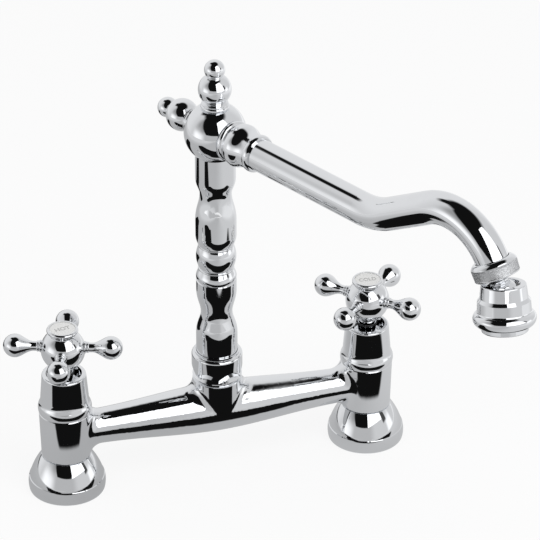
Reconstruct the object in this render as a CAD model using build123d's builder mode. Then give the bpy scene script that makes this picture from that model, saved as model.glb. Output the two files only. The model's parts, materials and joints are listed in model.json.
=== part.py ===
from build123d import *
import os
from math import cos, radians, sin, sqrt, tan

# A bridge kitchen faucet in millimetres. The bar lies along X, the front is -Y and Z is up.
# The origin is on the deck, straight under the column.

# ---- Layout ----
tap_centres = 180.0  # from one valve axis to the other
bar_height = 37.0  # axis of the cross bar above the deck
spout_turn = -63.6  # where the spout points, in degrees from +X
hot_handle_turn = -19.9  # first arm of the hot handle, in degrees from +X
cold_handle_turn = -46.3
fit = 0.05  # radial clearance of a turning or screwed fit
hair = 0.05  # gap between faces that slide on each other

# ---- Base flanges ----
flange_radius = 21.6  # at the deck
flange_bulge = 22.1  # widest, half way up the band
flange_band = 8.0  # height of the band below the seam line
flange_seam = 0.4  # depth and height of the seam line
flange_height = 22.4
flange_top_radius = 14.2
flange_dome_bulge = 0.75  # how far the dome swells past a straight cone
flange_cavity = 16.0  # radius of the hollow underneath
flange_collar = 4.9  # length that grips the shank
flange_cavity_height = 11.0
gasket_inner = 17.6
gasket_outer = 20.4
gasket_thickness = 1.6

# ---- Valve bodies, each with its inlet below and its cartridge bore above ----
shank_radius = 12.6  # threaded shank inside the flange
inlet_thread_radius = 9.3  # half-inch pipe thread, taken at its crests
inlet_thread_length = 15.0
passage_radius = 4.0
body_foot_radius = 14.1
body_top_radius = 14.9
body_above_bar = 14.5  # top of the body above the bar's axis
body_edge = 1.2
body_neck_radius = 12.0  # screwed neck under the shroud
body_neck_height = 6.5
cartridge_bore = 9.5
seat_below_bar = 8.0

# ---- Cross bar and central boss ----
bar_middle_radius = 14.2
bar_shoulder_radius = 11.0
bar_shoulder_place = 51.0  # out from the middle
bar_end_radius = 10.2  # at the valve axes
boss_set_back = 0.1  # front of the boss behind the front of the bar
boss_above_bar = 20.5
boss_neck_radius = 10.4
boss_neck_height = 10.5
boss_fillet = 8.0
bar_fillet = 8.0

# ---- Shrouds ----
shroud_bead_radius = 15.3
shroud_bead_height = 5.2
shroud_bead_end_radius = 14.85
shroud_waist_radius = 13.7
shroud_waist_height = 9.8
shroud_cove = 0.3  # depth of the hollow curve above the bead
shroud_shoulder_radius = 12.6
shroud_height = 24.8
shroud_rim = 1.2  # radius of the rounded rim
shroud_bore = 11.9  # clears the cartridge flange
shroud_cup_radius = 10.2
shroud_cup_height = 20.0  # from here up the cup is straight

# ---- Valve cartridges ----
seal_thickness = 1.5
seal_inner = 7.0
seal_outer = 8.9
disc_radius = 8.0
disc_thickness = 2.5
disc_port = 5.0  # port radius, centre to centre
disc_port_radius = 1.8
disc_ports = 2
disc_port_turn = 90  # of the first port, in degrees from +X
cartridge_wall = 1.0
cartridge_window = 3.4  # radius of the side outlets
cartridge_cavity_height = 19.0  # above the foot of the sleeve
cartridge_flange_radius = 11.4
cartridge_flange_height = 3.0
cartridge_hex = 16.5  # across the flats
cartridge_hex_height = 6.0
cartridge_neck_radius = 6.2
cartridge_neck_height = 3.4
gland_hex = 15.0  # across the flats
gland_height = 4.5
gland_collar_radius = 5.2
gland_collar_height = 5.35
spindle_radius = 3.9
spindle_foot_radius = 7.4
spindle_foot_height = 2.2
spindle_waist_radius = 3.0
spindle_collar_radius = 6.0
spindle_collar_height = 2.5
spindle_seal_radius = 5.9
spindle_seal_height = 0.9

# ---- Cross handles ----
hub_ball_radius = 12.6
hub_ball_height = 14.4  # centre of the ball above the foot of the skirt
skirt_radius = 5.5
spindle_engagement = 14.5  # how far the spindle reaches up into the hub
spindle_end_gap = 0.3
handle_recess_radius = 6.2
handle_recess_height = 18.7  # floor of the recess above the foot of the skirt
handle_flat_height = 24.8
arm_height = 16.0  # arm axis above the foot of the skirt
arm_count = 4
arm_stub_radius = 2.0
arm_stub_start = 7.6
arm_start = 11.7
arm_collar_radius = 3.5
arm_collar_length = 1.6
arm_ring_radius = 3.15
arm_ring_length = 1.5
arm_neck_radius = 2.7
arm_neck_place = 16.6
arm_cone_end = 24.3  # where the widening neck runs into the ball
arm_ball_radius = 6.65
arm_ball_place = 27.1
index_rim_radius = 8.95  # half way up its rounded side
index_rim_height = 3.4
index_neck_radius = 7.8  # of the low neck under the rounded side
index_neck_height = 0.8
index_top_radius = 8.0
index_spigot = 5.0
index_spigot_wall = 1.4
index_web = 1.2
index_disc_radius = 7.3
index_disc_thickness = 1.1
index_disc_depth = 0.5  # below the rim
screw_head_radius = 3.6
screw_head_height = 2.8
screw_radius = 2.0
screw_length = 9.0
screw_slot = 1.0
screw_slot_depth = 1.4

# ---- Collar nut ----
nut_radius = 14.5
nut_height = 18.6
nut_foot_radius = 13.0
nut_foot_height = 2.5  # up to the widest part of the foot
nut_foot_top_radius = 14.1
nut_foot_shoulder = 4.2  # where the sloping top of the foot meets the flats
nut_collar_radius = 12.9  # low collar round the column
nut_collar_height = 1.2
nut_bevel = 1.6  # height of the rounded shoulder
nut_bevel_bulge = 0.35
nut_bore_clearance = 0.2
nut_lip = 2.0
nut_recess_radius = 13.0
flat_top = 8.8  # where the six flats run out, above the foot of the nut
flat_lean = 30.0  # degrees that the flats lean in towards the foot
flat_corner_turn = -102.4  # one corner between flats, in degrees from +X
retainer_thickness = 1.6
retainer_groove = 1.4
retainer_radius = 12.7
retainer_gap = 4.0

# ---- Column: two vases with a bead between them ----
column_radius = 11.8  # in the collar nut
column_bore = 5.2
column_waist_radius = 9.0
column_middle_radius = 11.5
column_upper_foot_radius = 11.6
column_upper_radius = 11.35
column_spigot_radius = 9.0
column_spigot_length = 23.0  # below its shoulder
column_seal_section = 0.9  # half the thickness of a seal ring
column_seal_places = (5.0, 15.0)  # above the foot of the spigot
lower_straight = 11.1  # seen above the nut
lower_waist = 29.2
lower_waist_place = 14.1  # of its narrowest point, above its foot
middle_straight = 6.0
bead_ring_groove_radius = 11.05  # under the ring below the bead
bead_ring_radius = 11.5
bead_ring_foot = 0.5  # above the straight
bead_ring_widest = 2.5
bead_ring_height = 7.2  # up to its narrow top
bead_lip_radius = 10.25  # thin rings, one at each end of the bead
bead_lip_height = 1.4
bead_groove_radius = 9.7
bead_radius = 11.4
bead_height = 13.8
upper_bowl = 6.8  # the rounded foot of the upper vase
upper_bowl_foot_radius = 10.2
upper_bowl_bulge = 0.45
upper_foot_straight = 8.0
upper_waist = 27.5
upper_waist_place = 17.2
upper_straight = 15.4
column_tenon_radius = 8.0
tenon_clearance = 0.3  # between the tenon and the neck collar's spigot

# ---- Spout hub and finials ----
hub_radius = 17.4
finial_seat_depth = 0.2  # the collar's seat, cut into the ball of the hub
finial_collar_radius = 8.0
finial_collar_height = 2.6
finial_groove_radius = 7.2
finial_ring_radius = 7.5
finial_groove_height = 0.8
finial_cove_radius = 6.0  # where the big ball rises out of the ring
finial_big_radius = 9.3
finial_big_place = 26.7  # ball centre from the hub's centre
finial_neck_radius = 4.6  # between the two balls
finial_small_radius = 5.8
finial_small_place = 38.7
finial_stud_radius = 3.0
finial_stud_length = 7.0
hub_waterway = 6.0

# ---- Neck collar, measured along the spout from the hub's centre ----
neck_start = 13.0
neck_spigot_radius = 8.5
neck_spigot_length = 6.5
neck_ring_radius = 11.8
neck_ring_end = 16.2
neck_groove_radius = 10.9
neck_barrel_start = 17.4
neck_barrel_start_radius = 11.3
neck_barrel_radius = 12.25
neck_barrel_place = 22.4
neck_waist_radius = 10.2
neck_waist_place = 30.6
neck_lip_radius = 10.8
neck_lip_length = 4.2
neck_lip_edge = 0.9
neck_end = 36.0
neck_waterway = 6.5

# ---- Spout tube ----
tube_radius = 9.0
tube_wall = 1.0
tube_start = 20.5
tube_first_bend = 114.5  # where the straight ends, from the hub's centre
tube_first_radius = 44.0
tube_rise = 29.2  # degrees
tube_rise_length = 32.2
tube_crest_radius = 34.5
tube_fall = 61.6  # degrees below level at the knurled nut
tube_end_length = 2.0
tube_seal_section = 0.9
tube_seal_place = 24.0  # from the hub's centre

# ---- Knurled nut and swivel ball, measured along the nut's axis from the end of the bend ----
ferrule_radius = 10.8
ferrule_start = -0.4
knurl_nut_radius = 12.6
knurl_nut_foot_radius = 12.2
knurl_nut_shoulder = 2.6
knurl_nut_shoulder_radius = 10.6
knurl_nut_shoulder_bulge = 0.45
knurl_nut_length = 6.8
knurl_nut_edge = 0.5
knurl_nut_tube_gap = 0.3
washer_thickness = 1.4
washer_bore = 4.5
swivel_foot_height = 3.2
swivel_neck_radius = 4.6
swivel_cone_radius = 7.6
swivel_cone_hollow = 0.8
swivel_bore = 3.0
ball_radius = 8.2
ball_place = 16.5

# ---- Aerator, measured along its axis from the ball's centre ----
aerator_fall = 78.0  # degrees below level, in the plane of the spout
aerator_lean = 7.4  # degrees sideways out of that plane
ball_ring_thickness = 1.1
ball_ring_height = 3.2
cap_top = 5.6  # above the ball's centre
cap_mouth_radius = 8.9
cap_mouth_depth = 1.0
cap_edge = 0.7
cap_top_radius = 12.0
cap_foot_radius = 12.7
cap_foot = 1.6
cap_skirt_radius = 11.2
cap_skirt_length = 4.4
aerator_bevel_radius = 14.0
aerator_bevel_foot = 3.3
aerator_band_radius = 14.3
aerator_flange_place = 12.7
aerator_flange_radius = 16.7
aerator_flange_section = 3.3  # radius of the flange's upper curve
aerator_bowl_section = 4.7  # radius of the bowl below it
aerator_flange_fillet = 1.2
aerator_floor = 1.6
aerator_hole = 4.2
aerator_bore = 11.0
seat_top = 5.1
seat_bottom = 7.4
seat_bore = 4.4
seat_clearance = 0.2  # radial, inside the cap
insert_radius = 12.35
insert_foot = 20.0
insert_bore = 9.5
insert_web_bore = 8.3
insert_edge = 0.6
flow_plate_thickness = 1.4
flow_plate_depth = 1.4  # of its face inside the mouth of the insert
flow_hole_radius = 0.75
flow_hole_pitch = 2.5
first_row_holes = 6  # in the ring round the middle hole
spreader_thickness = 2.0
spreader_slots = 8
spreader_slot_width = 1.4
spreader_slot_length = 4.0
spreader_slot_place = 5.2
aerator_washer_inner = 6.0
aerator_washer_outer = 10.6

# ---- Places worked out from the sizes above ----
valve_places = {"hot": -tap_centres / 2, "cold": tap_centres / 2}
handle_turns = {"hot": hot_handle_turn, "cold": cold_handle_turn}

body_top = bar_height + body_above_bar
boss_top = bar_height + boss_above_bar
boss_radius = bar_middle_radius - boss_set_back
seat_height = bar_height - seat_below_bar
seal_top = seat_height + seal_thickness
fixed_disc_top = seal_top + disc_thickness
moving_disc_bottom = fixed_disc_top + hair
moving_disc_top = moving_disc_bottom + disc_thickness
spindle_foot_top = moving_disc_top + spindle_foot_height
cartridge_cavity_top = seal_top + cartridge_cavity_height
spindle_collar_top = cartridge_cavity_top - hair
body_neck_top = body_top + body_neck_height
cartridge_flange_top = body_neck_top + cartridge_flange_height
cartridge_hex_top = cartridge_flange_top + cartridge_hex_height
cartridge_neck_top = cartridge_hex_top + cartridge_neck_height
gland_bottom = cartridge_hex_top
gland_top = gland_bottom + gland_height
gland_collar_top = gland_top + gland_collar_height
skirt_foot = gland_collar_top + hair + spindle_seal_height
hub_ball_middle = skirt_foot + hub_ball_height
arm_level = skirt_foot + arm_height
handle_recess_floor = skirt_foot + handle_recess_height
handle_flat = skirt_foot + handle_flat_height
spindle_top = skirt_foot + spindle_engagement
index_top = handle_flat + index_rim_height

boss_neck_top = boss_top + boss_neck_height
nut_top = boss_top + nut_height
nut_bore = column_radius + nut_bore_clearance
column_shoulder = boss_neck_top
column_foot = column_shoulder - column_spigot_length
lip_bottom = nut_top - nut_lip
retainer_bottom = lip_bottom - hair - retainer_thickness

lower_waist_foot = nut_top + lower_straight
lower_waist_top = lower_waist_foot + lower_waist
middle_top = lower_waist_top + middle_straight
bead_ring_top = middle_top + bead_ring_height
bead_foot = bead_ring_top + bead_lip_height
bead_top = bead_foot + bead_height
upper_bowl_foot = bead_top + bead_lip_height
upper_bowl_top = upper_bowl_foot + upper_bowl
upper_waist_foot = upper_bowl_top + upper_foot_straight
upper_waist_top = upper_waist_foot + upper_waist
column_top = upper_waist_top + upper_straight
hub_flat = sqrt(hub_radius**2 - column_upper_radius**2)  # hub's centre above the column
hub_height = column_top + hub_flat
column_tenon_height = hub_flat - neck_spigot_radius - fit - tenon_clearance
finial_flat = sqrt(hub_radius**2 - finial_collar_radius**2) - finial_seat_depth

spout_direction = Vector(cos(radians(spout_turn)), sin(radians(spout_turn)), 0)
up = Vector(0, 0, 1)
hub_centre = up * hub_height
spout_side = spout_direction.cross(up)
spout_plane = Plane(origin=hub_centre, x_dir=spout_direction, z_dir=spout_side)

rise = radians(tube_rise)
fall = radians(tube_fall)
# the tube's path: along the spout and up, from the hub's centre
first_bend = (tube_first_bend, tube_first_radius)
rise_start = (first_bend[0] + tube_first_radius * sin(rise), tube_first_radius * (1 - cos(rise)))
rise_end = (rise_start[0] + tube_rise_length * cos(rise), rise_start[1] + tube_rise_length * sin(rise))
crest = (rise_end[0] + tube_crest_radius * sin(rise), rise_end[1] - tube_crest_radius * cos(rise))
fall_start = (crest[0] + tube_crest_radius * sin(fall), crest[1] + tube_crest_radius * cos(fall))
fall_end = (fall_start[0] + tube_end_length * cos(fall), fall_start[1] - tube_end_length * sin(fall))
nut_axis = spout_direction * cos(fall) - up * sin(fall)
nut_origin = hub_centre + spout_direction * fall_start[0] + up * fall_start[1]
ball_centre = nut_origin + nut_axis * ball_place
washer_top = tube_end_length
washer_foot = washer_top + washer_thickness
swivel_foot = washer_foot + swivel_foot_height
knurl_bore = ferrule_radius + fit

socket_radius = ball_radius + ball_ring_thickness + 2 * fit
lean = radians(aerator_lean)
aerator_drop = radians(aerator_fall)
aerator_axis = (
    (spout_direction * cos(aerator_drop) - up * sin(aerator_drop)) * cos(lean)
    + spout_side * sin(lean)
)
cap_skirt_foot = cap_foot + cap_skirt_length
aerator_foot = aerator_flange_place + aerator_bowl_section
floor_top = seat_bottom
floor_bottom = floor_top + aerator_floor
aerator_washer_foot = floor_bottom + washer_thickness
spreader_foot = aerator_washer_foot + spreader_thickness
flow_plate_top = insert_foot - flow_plate_depth - flow_plate_thickness

os.makedirs("parts", exist_ok=True)


def section_plane(origin, axis):
    """A plane for the half section of a turned piece: local X is a radius, local Y the axis."""
    direction = Vector(axis).normalized()
    upright = abs(direction.Z) > abs(direction.X) + abs(direction.Y)
    radius = direction.cross(Vector(1, 0, 0)) if upright else direction.cross(up)
    return Plane(origin=Vector(origin), x_dir=radius, z_dir=radius.cross(direction))


def axis_of(section):
    return Axis(section.origin, section.y_dir)


def turned(section, draw):
    """A piece turned from the closed half section that draw() puts down."""
    with BuildPart() as piece:
        with BuildSketch(section):
            with BuildLine():
                draw()
            make_face()
        revolve(axis=axis_of(section))
    return piece.part


def ring(section, inner, outer, low, high):
    """A plain ring, or a plain rod where inner is 0."""
    corners = ((inner, low), (outer, low), (outer, high), (inner, high))
    return turned(section, lambda: Polyline(*corners, close=True))


def seal_ring(section, middle, place, thickness):
    """A seal ring of round section."""
    with BuildPart() as piece:
        with BuildSketch(section):
            with Locations((middle, place)):
                Circle(thickness)
        revolve(axis=axis_of(section))
    return piece.part


def save(piece, name):
    piece.label = name
    export_step(piece, f"parts/{name}.step")


# ---- Bridge body: both valve bodies, the cross bar and the boss are one casting ----
def valve_body_outline():
    Polyline((0, 0), (shank_radius, 0), (shank_radius, flange_height))
    Line((shank_radius, flange_height), (body_foot_radius - body_edge, flange_height))
    RadiusArc(
        (body_foot_radius - body_edge, flange_height),
        (body_foot_radius, flange_height + body_edge),
        -body_edge,
    )
    Polyline(
        (body_foot_radius, flange_height + body_edge),
        (body_top_radius, body_top - flange_seam),
        (body_top_radius - flange_seam, body_top),
        (body_neck_radius, body_top),
        (body_neck_radius, body_neck_top),
        (0, body_neck_top),
        (0, 0),
    )


def bar_outline():
    half = tap_centres / 2
    Spline(
        (-half, bar_end_radius),
        (-bar_shoulder_place, bar_shoulder_radius),
        (0, bar_middle_radius),
        (bar_shoulder_place, bar_shoulder_radius),
        (half, bar_end_radius),
    )
    Polyline((half, bar_end_radius), (half, 0), (-half, 0), (-half, bar_end_radius))


with BuildPart() as bridge_body:
    bar_section = Plane(origin=(0, 0, bar_height), x_dir=(1, 0, 0), z_dir=(0, 1, 0))
    with BuildSketch(bar_section):
        with BuildLine():
            bar_outline()
        make_face()
    revolve(axis=Axis(bar_section.origin, (1, 0, 0)))
    with BuildSketch(Plane.XY.offset(bar_height)):
        Circle(boss_radius)
    extrude(amount=boss_top - bar_height)
    for place in valve_places.values():
        valve_section = section_plane((place, 0, 0), up)
        with BuildSketch(valve_section):
            with BuildLine():
                valve_body_outline()
            make_face()
        revolve(axis=axis_of(valve_section))
    # the bar's joins are the edges that are neither round nor straight
    plain = (GeomType.CIRCLE, GeomType.LINE)
    joins = [edge for edge in bridge_body.edges() if edge.geom_type not in plain]
    fillet([edge for edge in joins if abs(edge.center().X) > bar_shoulder_place], radius=bar_fillet)
    joins = [edge for edge in bridge_body.edges() if edge.geom_type not in plain]
    joins = [edge for edge in joins if abs(edge.center().X) < boss_radius]
    fillet([edge for edge in joins if edge.center().Z > bar_height], radius=boss_fillet)
    with BuildSketch(Plane.XY.offset(boss_top)):
        Circle(boss_neck_radius)
    extrude(amount=boss_neck_height)
    # spout bore, inlet threads, passages and cartridge bores
    with BuildSketch(Plane.XY.offset(column_foot - hair)):
        Circle(column_spigot_radius + fit)
    extrude(amount=boss_neck_top - column_foot + hair, mode=Mode.SUBTRACT)
    with BuildSketch(Plane.XY.offset(bar_height)):
        Circle(column_bore)
    extrude(amount=column_foot - bar_height, mode=Mode.SUBTRACT)
    for place in valve_places.values():
        with Locations((place, 0, 0)):
            Cylinder(
                inlet_thread_radius,
                inlet_thread_length,
                align=(Align.CENTER, Align.CENTER, Align.MIN),
                mode=Mode.SUBTRACT,
            )
            Cylinder(
                passage_radius,
                seat_height,
                align=(Align.CENTER, Align.CENTER, Align.MIN),
                mode=Mode.SUBTRACT,
            )
        with Locations((place, 0, seat_height)):
            Cylinder(
                cartridge_bore,
                body_neck_top,
                align=(Align.CENTER, Align.CENTER, Align.MIN),
                mode=Mode.SUBTRACT,
            )
    with BuildSketch(Plane.YZ.offset(-tap_centres / 2)):
        with Locations((0, bar_height)):
            Circle(passage_radius)
    extrude(amount=tap_centres, mode=Mode.SUBTRACT)
save(bridge_body.part, "bridge_body")


# ---- The two valves, from the deck up: flange, cartridge, shroud and cross handle ----
def flange_outline():
    seam = flange_radius - flange_seam
    dome_foot = flange_band + flange_seam
    bore = shank_radius + fit
    Polyline(
        (bore, flange_height),
        (bore, flange_height - flange_collar),
        (flange_cavity, flange_cavity_height),
        (flange_cavity, 0),
        (gasket_inner, 0),
        (gasket_inner, gasket_thickness),
        (gasket_outer, gasket_thickness),
        (gasket_outer, 0),
        (flange_radius, 0),
    )
    ThreePointArc((flange_radius, 0), (flange_bulge, flange_band / 2), (flange_radius, flange_band))
    Line((flange_radius, flange_band), (seam, dome_foot))
    SagittaArc((seam, dome_foot), (flange_top_radius, flange_height), -flange_dome_bulge)
    Line((flange_top_radius, flange_height), (bore, flange_height))


def shroud_outline():
    bead_foot_height = body_top + flange_seam
    bead_end = body_top + shroud_bead_height
    waist = body_top + shroud_waist_height
    top = body_top + shroud_height
    cup_foot = body_top + shroud_cup_height
    bore = body_neck_radius + fit
    Polyline(
        (shroud_shoulder_radius - shroud_rim, top),
        (shroud_cup_radius, top),
        (shroud_cup_radius, cup_foot),
        (shroud_bore, cartridge_flange_top + fit),
        (bore, body_neck_top),
        (bore, body_top),
        (body_top_radius - flange_seam, body_top),
        (body_top_radius, bead_foot_height),
    )
    ThreePointArc(
        (body_top_radius, bead_foot_height),
        (shroud_bead_radius, body_top + shroud_bead_height / 2),
        (shroud_bead_end_radius, bead_end),
    )
    SagittaArc((shroud_bead_end_radius, bead_end), (shroud_waist_radius, waist), shroud_cove)
    Line((shroud_waist_radius, waist), (shroud_shoulder_radius, top - shroud_rim))
    RadiusArc(
        (shroud_shoulder_radius, top - shroud_rim),
        (shroud_shoulder_radius - shroud_rim, top),
        -shroud_rim,
    )


def cartridge_outline():
    sleeve = cartridge_bore - fit
    Polyline(
        (0, cartridge_neck_top),
        (cartridge_neck_radius, cartridge_neck_top),
        (cartridge_neck_radius, cartridge_flange_top),
        (cartridge_flange_radius, cartridge_flange_top),
        (cartridge_flange_radius, body_neck_top),
        (sleeve, body_neck_top),
        (sleeve, seal_top),
        (sleeve - cartridge_wall, seal_top),
        (sleeve - cartridge_wall, cartridge_cavity_top),
        (0, cartridge_cavity_top),
        close=True,
    )


def spindle_outline():
    Polyline(
        (0, moving_disc_top),
        (spindle_foot_radius, moving_disc_top),
        (spindle_foot_radius, spindle_foot_top),
        (spindle_waist_radius, spindle_foot_top),
        (spindle_waist_radius, spindle_collar_top - spindle_collar_height),
        (spindle_collar_radius, spindle_collar_top - spindle_collar_height),
        (spindle_collar_radius, spindle_collar_top),
        (spindle_radius, spindle_collar_top),
        (spindle_radius, spindle_top),
        (0, spindle_top),
        close=True,
    )


def hub_outline():
    ball_foot = hub_ball_middle - sqrt(hub_ball_radius**2 - skirt_radius**2)
    flat_radius = sqrt(hub_ball_radius**2 - (handle_flat - hub_ball_middle) ** 2)
    bore_top = spindle_top + spindle_end_gap
    Polyline(
        (flat_radius, handle_flat),
        (handle_recess_radius, handle_flat),
        (handle_recess_radius, handle_recess_floor),
        (screw_radius + fit, handle_recess_floor),
        (screw_radius + fit, bore_top),
        (spindle_radius + fit, bore_top),
        (spindle_radius + fit, skirt_foot),
        (skirt_radius, skirt_foot),
        (skirt_radius, ball_foot),
    )
    ThreePointArc((skirt_radius, ball_foot), (hub_ball_radius, hub_ball_middle), (flat_radius, handle_flat))


def arm_outline():
    collar_end = arm_start + arm_collar_length
    ring_end = collar_end + arm_ring_length
    beyond = arm_ball_place - arm_cone_end
    cone_radius = sqrt(arm_ball_radius**2 - beyond**2)
    third = (arm_cone_end - arm_neck_place) / 3
    tip = arm_ball_place + arm_ball_radius
    Polyline(
        (0, tip),
        (0, arm_stub_start),
        (arm_stub_radius, arm_stub_start),
        (arm_stub_radius, arm_start),
        (arm_neck_radius, arm_start),
    )
    ThreePointArc(
        (arm_neck_radius, arm_start),
        (arm_collar_radius, arm_start + arm_collar_length / 2),
        (arm_neck_radius, collar_end),
    )
    ThreePointArc(
        (arm_neck_radius, collar_end),
        (arm_ring_radius, collar_end + arm_ring_length / 2),
        (arm_neck_radius, ring_end),
    )
    Line((arm_neck_radius, ring_end), (arm_neck_radius, arm_neck_place))
    Bezier(
        (arm_neck_radius, arm_neck_place),
        (arm_neck_radius, arm_neck_place + third),
        (cone_radius - third * beyond / cone_radius, arm_cone_end - third),
        (cone_radius, arm_cone_end),
    )
    ThreePointArc((cone_radius, arm_cone_end), (arm_ball_radius, arm_ball_place), (0, tip))


def index_ring_outline():
    web_top = index_top - index_disc_depth - index_disc_thickness
    spigot = handle_recess_radius - fit
    inside = spigot - index_spigot_wall
    neck_top = handle_flat + index_neck_height
    Polyline(
        (index_top_radius, index_top),
        (index_disc_radius + fit, index_top),
        (index_disc_radius + fit, web_top),
        (0, web_top),
        (0, web_top - index_web),
        (inside, web_top - index_web),
        (inside, handle_flat - index_spigot),
        (spigot, handle_flat - index_spigot),
        (spigot, handle_flat),
        (index_neck_radius, handle_flat),
        (index_neck_radius, neck_top),
    )
    ThreePointArc(
        (index_neck_radius, neck_top),
        (index_rim_radius, (neck_top + index_top) / 2),
        (index_top_radius, index_top),
    )


def screw_outline():
    head_top = handle_recess_floor + screw_head_height
    Polyline(
        (0, handle_recess_floor - screw_length),
        (screw_radius, handle_recess_floor - screw_length),
        (screw_radius, handle_recess_floor),
        (screw_head_radius, handle_recess_floor),
        (screw_head_radius, head_top),
        (0, head_top),
        close=True,
    )


def drilled_disc(place, bottom):
    """A ceramic disc with two ports."""
    with BuildPart() as disc:
        with BuildSketch(Plane(origin=(place, 0, bottom))):
            Circle(disc_radius)
            with PolarLocations(disc_port, disc_ports, start_angle=disc_port_turn):
                Circle(disc_port_radius, mode=Mode.SUBTRACT)
        extrude(amount=disc_thickness)
    return disc.part


def hexagon(flats):
    return RegularPolygon(flats / 2, 6, major_radius=False)


for side, place in valve_places.items():
    section = section_plane((place, 0, 0), up)
    axis = axis_of(section)
    save(turned(section, flange_outline), f"{side}_base_flange")
    save(ring(section, gasket_inner, gasket_outer, 0, gasket_thickness), f"{side}_base_gasket")
    save(turned(section, shroud_outline), f"{side}_shroud")
    save(ring(section, seal_inner, seal_outer, seat_height, seal_top), f"{side}_seat_seal")
    save(drilled_disc(place, seal_top), f"{side}_fixed_disc")
    save(drilled_disc(place, moving_disc_bottom), f"{side}_moving_disc")

    with BuildPart() as cartridge:
        with BuildSketch(section):
            with BuildLine():
                cartridge_outline()
            make_face()
        revolve(axis=axis)
        with BuildSketch(Plane(origin=(place, 0, cartridge_flange_top))):
            hexagon(cartridge_hex)
        extrude(amount=cartridge_hex_height)
        with BuildSketch(Plane(origin=(place, 0, cartridge_cavity_top))):
            Circle(spindle_radius + fit)
        extrude(amount=cartridge_neck_top - cartridge_cavity_top, mode=Mode.SUBTRACT)
        with BuildSketch(Plane(origin=(place, 0, bar_height), z_dir=(1, 0, 0))):
            Circle(cartridge_window)
        extrude(amount=cartridge_bore, both=True, mode=Mode.SUBTRACT)
    save(cartridge.part, f"{side}_cartridge")

    with BuildPart() as gland_nut:
        with BuildSketch(Plane(origin=(place, 0, gland_bottom))):
            hexagon(gland_hex)
        extrude(amount=gland_height)
        with BuildSketch(Plane(origin=(place, 0, gland_top))):
            Circle(gland_collar_radius)
        extrude(amount=gland_collar_height)
        with BuildSketch(Plane(origin=(place, 0, gland_bottom))):
            Circle(cartridge_neck_radius + fit)
        extrude(amount=cartridge_neck_height + fit, mode=Mode.SUBTRACT)
        with BuildSketch(Plane(origin=(place, 0, gland_bottom))):
            Circle(spindle_radius + fit)
        extrude(amount=gland_collar_top - gland_bottom, mode=Mode.SUBTRACT)
    save(gland_nut.part, f"{side}_gland_nut")

    with BuildPart() as spindle:
        with BuildSketch(section):
            with BuildLine():
                spindle_outline()
            make_face()
        revolve(axis=axis)
        with BuildSketch(Plane(origin=(place, 0, moving_disc_top))):
            with PolarLocations(disc_port, disc_ports, start_angle=disc_port_turn):
                Circle(disc_port_radius)
        extrude(amount=spindle_foot_height, mode=Mode.SUBTRACT)
        with BuildSketch(Plane(origin=(place, 0, handle_recess_floor - screw_length - spindle_end_gap))):
            Circle(screw_radius + fit)
        extrude(amount=screw_length, mode=Mode.SUBTRACT)
    save(spindle.part, f"{side}_spindle")
    save(
        ring(section, spindle_radius + fit, spindle_seal_radius, gland_collar_top + hair, skirt_foot),
        f"{side}_spindle_seal",
    )

    arm_turns = [handle_turns[side] + 360 / arm_count * index for index in range(arm_count)]
    arm_centre = Vector(place, 0, arm_level)
    arm_directions = [Vector(cos(radians(turn)), sin(radians(turn)), 0) for turn in arm_turns]
    with BuildPart() as handle_hub:
        with BuildSketch(section):
            with BuildLine():
                hub_outline()
            make_face()
        revolve(axis=axis)
        for direction in arm_directions:
            with BuildSketch(Plane(origin=arm_centre + direction * arm_start, z_dir=direction)):
                Circle(arm_collar_radius + fit)
            extrude(amount=hub_ball_radius - arm_start, mode=Mode.SUBTRACT)
            with BuildSketch(Plane(origin=arm_centre + direction * (arm_stub_start - fit), z_dir=direction)):
                Circle(arm_stub_radius + fit)
            extrude(amount=arm_start - arm_stub_start + fit, mode=Mode.SUBTRACT)
    save(handle_hub.part, f"{side}_handle_hub")

    with BuildPart() as handle_arms:
        for direction in arm_directions:
            arm_section = section_plane(arm_centre, direction)
            with BuildSketch(arm_section):
                with BuildLine():
                    arm_outline()
                make_face()
            revolve(axis=axis_of(arm_section))
    save(handle_arms.part, f"{side}_handle_arms")

    save(turned(section, index_ring_outline), f"{side}_index_ring")
    index_disc_top = index_top - index_disc_depth
    save(
        ring(section, 0, index_disc_radius, index_disc_top - index_disc_thickness, index_disc_top),
        f"{side}_index_disc",
    )

    with BuildPart() as handle_screw:
        with BuildSketch(section):
            with BuildLine():
                screw_outline()
            make_face()
        revolve(axis=axis)
        with BuildSketch(Plane(origin=(place, 0, handle_recess_floor + screw_head_height))):
            Rectangle(2 * screw_head_radius, screw_slot)
        extrude(amount=-screw_slot_depth, mode=Mode.SUBTRACT)
    save(handle_screw.part, f"{side}_handle_screw")


# ---- Collar nut and column ----
column_section = section_plane((0, 0, 0), up)
column_axis = axis_of(column_section)


def flats_radius(height):
    """From the axis to the middle of a flat, at a height above the foot of the nut."""
    return nut_radius - (flat_top - height) * tan(radians(flat_lean))


def nut_outline():
    foot = boss_top + nut_foot_height
    shoulder = nut_top - nut_collar_height
    Polyline(
        (nut_collar_radius, shoulder),
        (nut_collar_radius, nut_top),
        (nut_bore, nut_top),
        (nut_bore, lip_bottom),
        (nut_recess_radius, lip_bottom),
        (nut_recess_radius, boss_neck_top),
        (boss_neck_radius + fit, boss_neck_top),
        (boss_neck_radius + fit, foot),
        (nut_radius, foot),
        (nut_radius, shoulder - nut_bevel),
    )
    SagittaArc((nut_radius, shoulder - nut_bevel), (nut_collar_radius, shoulder), -nut_bevel_bulge)


def nut_foot_outline():
    Polyline(
        (nut_foot_top_radius, boss_top + nut_foot_height),
        (flats_radius(nut_foot_shoulder), boss_top + nut_foot_shoulder),
        (boss_neck_radius + fit, boss_top + nut_foot_shoulder),
        (boss_neck_radius + fit, boss_top),
        (nut_foot_radius, boss_top),
        close=True,
    )


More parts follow.
